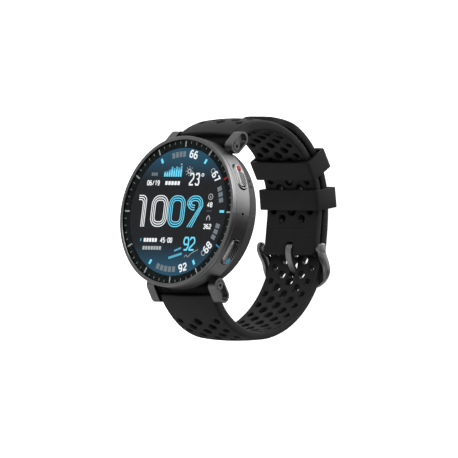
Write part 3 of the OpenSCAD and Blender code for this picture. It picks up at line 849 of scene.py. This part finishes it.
def button_bevel(sign):
    """Strip on the slope above the crease, in a lighter copy of the button metal: a painted highlight."""
    place, top = button_place(sign), CAP_HALF_H - 0.22
    low, corner = CREASE_UP + 0.08, CREASE_UP + 0.3
    right_side = [(2.9, low), (3.3, corner), (2.6, top)]
    flat = plate([right_side + [(-a, b) for a, b in reversed(right_side)]], BEVEL_T, 0.05, 2)
    slice_mesh(flat, 0, [k * 0.4 for k in range(-8, 9)])
    return remap(flat, lambda along, up, n: place(
        along, up, BUTTON_FACE_R - bevel_drop(up) + n))


def on_face(sign, outline, thickness, edge):
    """A thin flat shape on the face of a button, half sunk in it."""
    place = button_place(sign)
    return remap(plate([outline], thickness, edge, 2),
                 lambda along, up, n: place(along, up, BUTTON_FACE_R + n))


def button_groove_shade(sign):
    """Dark strips that paint the shade of slanting groove cuts, cut off along the round end of the cap, and a
    dark wedge at the other end as painted shadow of the pocket.
    """
    outlines = []
    for k in range(GROOVE_COUNT):
        a, low = sign * (GROOVE_FIRST - k * GROOVE_PITCH), GROOVE_LOW
        while math.hypot(max(0, abs(a + GROOVE_SLANT * low) + GROOVE_HALF - CAP_HALF_L
                             + CAP_HALF_H), low) > CAP_HALF_H - 0.2:
            low += 0.1
        top, bottom = a + GROOVE_SLANT * GROOVE_HIGH, a + GROOVE_SLANT * low
        outlines.append([(bottom - GROOVE_HALF, low), (bottom + GROOVE_HALF, low),
                         (top + GROOVE_HALF, GROOVE_HIGH), (top - GROOVE_HALF, GROOVE_HIGH)])
    # The wedge is painted shadow where the cap meets the end of its pocket.
    near, far = -sign * 3.35, -sign * 3.85
    outlines.append([(near, -1.05), (far, -0.7), (far, 0.6), (near, 1.0)])
    return [on_face(sign, outline, GROOVE_T, 0.04) for outline in outlines]


def button_dot(sign):
    """Coloured dot at the end of the cap that is away from 3 o'clock."""
    near, far = sorted((sign * 1.95, sign * 3.75))
    return on_face(sign, rounded_rect(near, -1.15, far, 0.3, 0.65), DOT_T, 0.08)


def add_button(name, sign, dot_paint):
    """Push button: bevel with a painted highlight on the dial side, painted groove shade below, a dot at one end.
    """
    cap = merged(button_cap(sign), name + "_cap", sharp=35)
    hand_over(paint(cap, BUTTON), name, "button_metal", name)
    bevel = finish_mesh(button_bevel(sign), name + "_bevel", sharp=35)
    hand_over(paint(bevel, BEVEL_HIGHLIGHT), name, "button_metal")
    groove_shade = merged(button_groove_shade(sign), name + "_grooves", sharp=35)
    hand_over(paint(groove_shade, GROOVE_SHADE), name, "button_metal")
    dot = finish_mesh(button_dot(sign), name + "_dot")
    hand_over(paint(dot, dot_paint), name, "button_metal")


# ---------------------------------------------------------------- glass and printed ring
GLASS_R, GLASS_EDGE_R = DISPLAY_R + 2.33, 0.3
GLASS_LOW, GLASS_HIGH = RING_TOP + 0.06, RING_TOP + 0.8
HOUR_TICK = (19.75, 21.6, 0.42)           # inner radius, outer radius, width
MINUTE_TICK = (20.75, 21.55, 0.2)
TICK_T = 0.02


def add_glass():
    """Cover glass with a rounded rim, just above the printed ring."""
    profile = [(0, GLASS_LOW), (GLASS_R - 0.2, GLASS_LOW), (GLASS_R - 0.05, GLASS_LOW),
               (GLASS_R, GLASS_LOW + 0.06)]
    profile += arc(GLASS_R - GLASS_EDGE_R, GLASS_HIGH - GLASS_EDGE_R, GLASS_EDGE_R, 0, 90, 6)
    profile += [(GLASS_R - 0.4, GLASS_HIGH), (0, GLASS_HIGH)]
    glass = finish_mesh(lathe(profile), "cover_glass_lens", sharp=30)
    hand_over(paint(glass, GLASS), "root", "glass", "cover_glass")


def tick(bm, shape, angle):
    """One raised mark of the ring, at an angle in degrees from 3 o'clock."""
    inner, outer, wide = shape
    matrix = (Matrix.Rotation(math.radians(angle), 4, "Z")
              @ Matrix.Translation(((inner + outer) / 2 * MM, 0, (RING_TOP + TICK_T / 2) * MM))
              @ Matrix.Diagonal(((outer - inner) * MM, wide * MM, TICK_T * MM, 1)))
    bmesh.ops.create_cube(bm, size=1.0, matrix=matrix)


def add_ticks():
    """Printed marks of the ring: long at the hours, short at the minutes, red at 2, blue at 4."""
    kinds = {"hour_ticks": (TICK_PAINT, HOUR_TICK), "minute_ticks": (MINUTE_PAINT, MINUTE_TICK),
             "red_tick": (RED_PAINT, HOUR_TICK), "blue_tick": (BLUE_PAINT, HOUR_TICK)}
    meshes = {name: bmesh.new() for name in kinds}
    for minute in range(60):
        name = "minute_ticks" if minute % 5 else "hour_ticks"
        name = {10: "red_tick", 20: "blue_tick"}.get(minute, name)
        tick(meshes[name], kinds[name][1], 90 - minute * 6)
    for name, bm in meshes.items():
        hand_over(paint(finish_mesh(bm, name), kinds[name][0]), "root", "dial_black")


# ---------------------------------------------------------------- display face
# Strokes of each sign in a unit square. A sign is then as wide as the reading says.
STROKES = {
    "0": [[(0, 0.22), (0, 0.78), (0.22, 1), (0.78, 1), (1, 0.78), (1, 0.22), (0.78, 0),
           (0.22, 0), (0, 0.22)]],
    "1": [[(0.15, 0.8), (0.55, 1), (0.55, 0)]],
    "2": [[(0, 0.8), (0.2, 1), (0.8, 1), (1, 0.8), (1, 0.6), (0, 0.12), (0, 0), (1, 0)]],
    "3": [[(0, 0.85), (0.2, 1), (0.8, 1), (1, 0.8), (0.8, 0.52), (0.35, 0.52)],
          [(0.8, 0.52), (1, 0.25), (0.8, 0), (0.2, 0), (0, 0.15)]],
    "4": [[(0.7, 0), (0.7, 1), (0, 0.3), (1, 0.3)]],
    "5": [[(1, 1), (0, 1), (0, 0.56), (0.8, 0.56), (1, 0.36), (1, 0.2), (0.8, 0), (0, 0)]],
    "6": [[(0.9, 1), (0.3, 1), (0, 0.7), (0, 0.2), (0.2, 0), (0.8, 0), (1, 0.2), (1, 0.4),
           (0.8, 0.56), (0, 0.56)]],
    "7": [[(0, 1), (1, 1), (0.35, 0)]],
    "8": [[(0.2, 0.53), (0, 0.7), (0, 0.83), (0.2, 1), (0.8, 1), (1, 0.83), (1, 0.7),
           (0.8, 0.53), (0.2, 0.53), (0, 0.34), (0, 0.18), (0.2, 0), (0.8, 0), (1, 0.18),
           (1, 0.34), (0.8, 0.53)]],
    "9": [[(0.1, 0), (0.7, 0), (1, 0.3), (1, 0.8), (0.8, 1), (0.2, 1), (0, 0.8), (0, 0.6),
           (0.2, 0.44), (1, 0.44)]],
    ":": [[(0.4, 0.3), (0.4, 0.36)], [(0.4, 0.66), (0.4, 0.72)]],
    "/": [[(0.1, 0), (0.8, 1)]],
}
INK_Z = DISPLAY_TOP + 0.02
INK_T = 0.015
# The large numerals are drawn in parallel lines.
TIME_LOW, TIME_HIGH, TIME_CORNER_R = -4.7, 4.95, 2.9
TIME_LINES, TIME_PITCH, TIME_STROKE = 3, 0.7, 0.3
ONE_PITCH = 0.62
SUN_AT, SUN_R, SUN_RAYS, RAY_FROM, RAY_TO = (2.7, 12.3), 0.62, 8, 1.15, 1.5
BAR_HEIGHTS = (1.5, 1.6, 2.1, 3.0, 2.6, 3.1, 2.8, 3.3)
BARS_AT, BAR_PITCH, BAR_WIDTH = (-7.1, 10.6), 0.92, 0.66
BLOCK_SHARE = 0.76                        # of a block in its step along a row

# (ink, text, centre, height, stroke, turn, width of a sign, gap), the last two as shares of the
# height
READINGS = (
    ("white", "66", (3.7, 17.4), 2.0, 0.42, -12),
    ("white", "67", (13.75, 10.75), 2.0, 0.42, -52),
    ("white", "68", (13.7, -10.7), 2.0, 0.42, 52),
    ("white", "92", (4.6, -16.9), 2.0, 0.42, 15),
    ("white", "48", (12.6, 2.2), 1.25, 0.3),
    ("white", "362", (12.6, -4.4), 1.25, 0.3),
    ("white", "23", (5.2, 9.9), 3.4, 0.48, 0, 0.42, 0.26),
    ("white", "06/19", (-11.4, 8.65), 1.3, 0.3, 0, 0.5, 0.3),
    ("white", "45:00", (-3.4, -8.7), 1.3, 0.3, 0, 0.5, 0.26),
    ("cyan", "92", (6.1, -9.7), 3.7, 0.5, 0, 0.5, 0.16),
)
# (ink, left end, right end, height on the dial, width, count)
BLOCK_ROWS = (
    ("white", -12.7, -7.1, -8.7, 1.15, 5),
    ("white", -6.7, -0.5, 8.65, 1.15, 5),
    ("soft", -12.8, -5.0, -11.1, 1.1, 7),
    ("grey", -12.6, -10.0, 11.3, 1.0, 3),
)
# (radius, first and last angle from 3 o'clock, count)
BLOCK_ARCS = ((17.5, 107, 88, 4), (17.3, 27, 9, 3), (17.3, -11, -29, 3), (17.5, -111, -84, 5))
BLOCK_ARC_W = 1.7
# (ink, width, points)
LINES = (
    ("grey", 0.12, ((11.6, 0.3), (13.6, 0.3))),
    ("blue", 0.4, ((-13.8, -9.1), (-13.8, -8.2))),
    ("blue", 0.5, ((0.4, -11.9), (3.0, -11.0))),
    ("blue", 0.7, ((-1.6, -14.1), (3.6, -12.7))),
    ("soft", 0.16, ((4.7, -13.8), (5.3, -13.1), (6.1, -13.7), (7.4, -12.6), (10.0, -11.4))),
    ("soft", 0.3, ((12.6, 4.2), (12.6, 4.9))),
    ("soft", 0.3, ((12.0, -2.5), (12.0, -1.7), (12.6, -1.1), (13.2, -1.7), (13.2, -2.5))),
    ("soft", 0.4, ((-1.1, 14.4), (-0.5, 14.4))),
    ("cyan", 0.75, ((16.9, 0.2), (18.7, 0.2))),
)
# (ink, width, centre, radius, corners)
RINGS = (
    ("white", 0.24, (8.35, 11.2), 0.42, 14),
    ("soft", 0.22, (12.6, 4.6), 0.85, 18),
    ("soft", 0.22, (12.35, 12.4), 0.75, 18),
    ("soft", 0.22, (12.25, -12.4), 0.75, 18),
    ("soft", 0.4, SUN_AT, SUN_R, 16),
)


def ribbon(bm, points, width, closed=False):
    """A flat stroke of the display along points in mm, mitred at its bends."""
    points = [Vector(p) for p in points]
    last = len(points) - 1
    pairs = []
    for i, p in enumerate(points):
        first = p - points[i - 1] if i > 0 or closed else points[1] - p
        second = points[(i + 1) % (last + 1)] - p if i < last or closed else first
        first, second = first.normalized(), second.normalized()
        along = (first + second).normalized()
        normal = Vector((-along.y, along.x))
        reach = width / 2 / max(0.5, normal.dot(Vector((-first.y, first.x))))
        pairs.append([bm.verts.new((*(p + normal * side) * MM, INK_Z * MM))
                      for side in (reach, -reach)])
    onward = pairs[1:] + pairs[:1] if closed else pairs[1:]
    faces = [bm.faces.new((a[0], b[0], b[1], a[1])) for a, b in zip(pairs, onward)]
    lifted = bmesh.ops.extrude_face_region(bm, geom=faces)
    verts = [g for g in lifted["geom"] if isinstance(g, bmesh.types.BMVert)]
    bmesh.ops.translate(bm, verts=verts, vec=(0, 0, INK_T * MM))


def spoke(bm, centre, inner, outer, degrees, width):
    """A short stroke that points away from a centre."""
    out = ahead(degrees)
    ribbon(bm, [Vector(centre) + out * inner, Vector(centre) + out * outer], width)


def number(bm, text, centre, height, stroke, turn=0, width=0.56, gap=0.32):
    """Numerals of plain strokes, centred on a point and turned by degrees."""
    advance = height * (width + gap)
    total = advance * len(text) - height * gap
    along, up = ahead(turn), left(turn)
    for index, sign in enumerate(text):
        start = index * advance - total / 2
        for line in STROKES[sign]:
            ribbon(bm, [Vector(centre) + along * (start + x * height * width)
                        + up * (y - 0.5) * height for x, y in line], stroke)


def inline_zero(bm, x0, x1):
    """A large round-cornered nought."""
    for k in range(TIME_LINES):
        inset = TIME_STROKE / 2 + k * TIME_PITCH
        ribbon(bm, rounded_rect(x0 + inset, TIME_LOW + inset, x1 - inset, TIME_HIGH - inset,
                                TIME_CORNER_R - inset, 8), TIME_STROKE, closed=True)


def inline_nine(bm, x0, x1):
    """A large nine: an open bowl with a slanting stem."""
    bowl_low = TIME_LOW + (TIME_HIGH - TIME_LOW) * 0.53
    for k in range(TIME_LINES):
        inset = TIME_STROKE / 2 + k * TIME_PITCH
        r = TIME_CORNER_R - inset
        left_x, right_x, top, low = x0 + inset, x1 - inset, TIME_HIGH - inset, bowl_low + inset
        path = [(x0 + 3.3, low)] + arc(left_x + r, low + r, r, 270, 180, 8)
        path += arc(left_x + r, top - r, r, 180, 90, 8)
        path += arc(right_x - r, top - r, r, 90, 0, 8)
        path += [(right_x, bowl_low + 1.4 - inset * 0.35),
                 (x0 + 1.05 + (TIME_LINES - 1 - k) * TIME_PITCH * 1.25, TIME_LOW)]
        ribbon(bm, path, TIME_STROKE)


def inline_one(bm, x1):
    """A large one with a short flag."""
    for k in range(TIME_LINES):
        inset = TIME_STROKE / 2 + k * ONE_PITCH
        x, top, r = x1 - inset, TIME_HIGH - inset, 1.6 - k * ONE_PITCH * 0.45
        ribbon(bm, [(x1 - 3.3, top)] + arc(x - r, top - r, r, 90, 0, 8) + [(x, TIME_LOW)],
               TIME_STROKE)


def row_steps(start, end, count):
    """Start and end of each block in a row."""
    step = (end - start) / count
    lows = [start + step * (k + (1 - BLOCK_SHARE) / 2) for k in range(count)]
    return [(low, low + step * BLOCK_SHARE) for low in lows]


def draw_graph(inks):
    """Bar graph: cyan bars with blue tops."""
    for k, height in enumerate(BAR_HEIGHTS):
        x, foot = BARS_AT[0] + k * BAR_PITCH, BARS_AT[1]
        ribbon(inks["cyan"], [(x, foot), (x, foot + height * 0.72)], BAR_WIDTH)
        ribbon(inks["blue"], [(x, foot + height * 0.74), (x, foot + height)], BAR_WIDTH)


def add_display():
    """Time in large numerals, small readings, a bar graph and a weather sign, all generic."""
    paints = {"white": WHITE_LIT, "soft": SOFT_LIT, "grey": GREY_LIT, "blue": BLUE_LIT,
              "cyan": CYAN_LIT}
    inks = {key: bmesh.new() for key in paints}
    inline_one(inks["white"], -13.15)
    inline_zero(inks["white"], -11.0, -4.25)
    inline_zero(inks["cyan"], -4.0, 2.75)
    inline_nine(inks["cyan"], 3.3, 9.9)
    for ink, *reading in READINGS:
        number(inks[ink], *reading)
    for ink, x0, x1, y, width, count in BLOCK_ROWS:
        for low, high in row_steps(x0, x1, count):
            ribbon(inks[ink], [(low, y), (high, y)], width)
    for radius, start, end, count in BLOCK_ARCS:
        for low, high in row_steps(start, end, count):
            ribbon(inks["grey"], arc(0, 0, radius, low, high, 3), BLOCK_ARC_W)
    for ink, width, points in LINES:
        ribbon(inks[ink], points, width)
    for ink, width, centre, radius, corners in RINGS:
        ribbon(inks[ink], circle(*centre, radius, corners), width, closed=True)
    for k in range(SUN_RAYS):
        spoke(inks["soft"], SUN_AT, RAY_FROM, RAY_TO, 360 / SUN_RAYS * k, 0.22)
    draw_graph(inks)
    for angle in (120, 60, -60, -120):
        spoke(inks["cyan"], (0, 0), 16.9, 18.4, angle, 0.8)
    for key, bm in inks.items():
        hand_over(paint(finish_mesh(bm, "display_" + key), paints[key]), "root", "display")


# ---------------------------------------------------------------- stage, light and camera
FLOOR_GAP, FLOOR_HALF = 0.5 * MM, 4.0
ROOM_LIGHT = 0.16
# (azimuth, elevation, half width, strength), in degrees
SOFT_LIGHTS = ((59, -49, 36, 4.8), (-85, -47, 32, 0.9), (125, -47, 32, 0.7), (60, 32, 50, 1.6),
               (-46, 22, 34, 1.4), (170, 50, 62, 0.7), (-134, 14, 48, 0.9), (132, 0, 46, 0.8))
KEY_PLACE, KEY_AIM, KEY_SIZE, KEY_WATTS = (0.45, 0.55, 0.6), (0, 0, -0.01), 0.5, 6
CAMERA_AZIMUTH, CAMERA_ELEVATION, CAMERA_ROLL = -9.6879, 46.7508, 6.8503
CAMERA_DISTANCE, VIEW_WIDTH, SENSOR = 4.0, 0.1372, 36.0
AIM_RIGHT, AIM_DOWN = 0.01551, 0.005265   # of the middle of the picture from the middle of the dial


def direction(azimuth, elevation):
    """Unit vector at an azimuth from 3 o'clock and an elevation above the dial, in degrees."""
    a, e = math.radians(azimuth), math.radians(elevation)
    return Vector((math.cos(a) * math.cos(e), math.sin(a) * math.cos(e), math.sin(e)))


def add_stage():
    """Plain pale floor just below the watch, which glows so that it stays evenly pale."""
    z, half = CAD_BOX[0].z - FLOOR_GAP, FLOOR_HALF
    mesh = bpy.data.meshes.new("floor")
    mesh.from_pydata([(-half, -half, z), (half, -half, z), (half, half, z), (-half, half, z)],
                     [], [(0, 1, 2, 3)])
    floor = link("floor", mesh)
    material, tree, shader = principled("floor_pale", (0.8, 0.8, 0.8), 0.9,
                                        Specular_IOR_Level=0.0)
    speckle = noise(tree, object_coords(tree), 30, 2)
    tree.links.new(ramp(tree, speckle, (0.79, 0.79, 0.79), (0.81, 0.81, 0.81)),
                   shader.inputs["Base Color"])
    shader.inputs["Emission Color"].default_value = (1, 1, 1, 1)
    shader.inputs["Emission Strength"].default_value = 0.95
    paint(floor, material)
    floor.visible_glossy = False


def add_world():
    """Dim room with broad soft lights that fade out towards their edges."""
    world = bpy.data.worlds.new("studio")
    bpy.context.scene.world = world
    world.use_nodes = True
    tree = world.node_tree
    coords = tree.nodes.new("ShaderNodeTexCoord")
    total = ROOM_LIGHT
    for azimuth, elevation, width, strength in SOFT_LIGHTS:
        towards = tree.nodes.new("ShaderNodeVectorMath")
        towards.operation = "DOT_PRODUCT"
        towards.inputs[1].default_value = direction(azimuth, elevation)
        tree.links.new(coords.outputs["Generated"], towards.inputs[0])
        lobe = tree.nodes.new("ShaderNodeMapRange")
        lobe.interpolation_type = "SMOOTHSTEP"
        lobe.inputs["From Min"].default_value = math.cos(math.radians(width))
        lobe.inputs["From Max"].default_value = 1.0
        lobe.inputs["To Max"].default_value = strength
        tree.links.new(towards.outputs["Value"], lobe.inputs["Value"])
        total = calculate(tree, "ADD", total, lobe.outputs["Result"])
    background = tree.nodes["Background"]
    background.inputs["Color"].default_value = (1, 1, 1, 1)
    tree.links.new(total, background.inputs["Strength"])


def add_key_light():
    """One soft square lamp, high on the 2 o'clock side."""
    light = bpy.data.lights.new("key", "AREA")
    light.shape = "RECTANGLE"
    light.size = light.size_y = KEY_SIZE
    light.energy = KEY_WATTS
    lamp = link("key", light)
    lamp.location = KEY_PLACE
    aim = Vector(KEY_AIM) - Vector(KEY_PLACE)
    lamp.rotation_euler = aim.to_track_quat("-Z", "Y").to_euler()


def add_camera():
    """Long lens over the 3 o'clock side, with 12 o'clock up in the picture."""
    back = direction(CAMERA_AZIMUTH, CAMERA_ELEVATION)
    level = Vector((0, 1, 0)).cross(back).normalized()
    right = Matrix.Rotation(math.radians(CAMERA_ROLL), 3, back) @ level
    up = back.cross(right)
    data = bpy.data.cameras.new("camera")
    data.sensor_width = SENSOR
    data.lens = SENSOR * CAMERA_DISTANCE / VIEW_WIDTH
    data.clip_start = 0.1
    camera = link("camera", data)
    camera.matrix_world = Matrix((right, up, back)).transposed().to_4x4()
    camera.location = (Vector((0, 0, DIAL_Z * MM)) + right * AIM_RIGHT - up * AIM_DOWN
                       + back * CAMERA_DISTANCE)
    bpy.context.scene.camera = camera
    bpy.context.scene.view_settings.view_transform = "Standard"


add_stage()
add_world()
add_key_light()
add_camera()
paint_nodes()
add_long_strap()
add_short_strap()
for keeper, keeper_angle in KEEPER_ANGLES.items():
    add_keeper(keeper, keeper_angle)
add_buckle_frame()
add_buckle_tongue()
add_button("upper_button", 1, RED_DOT)
add_button("lower_button", -1, BLUE_DOT)
add_glass()
add_ticks()
add_display()
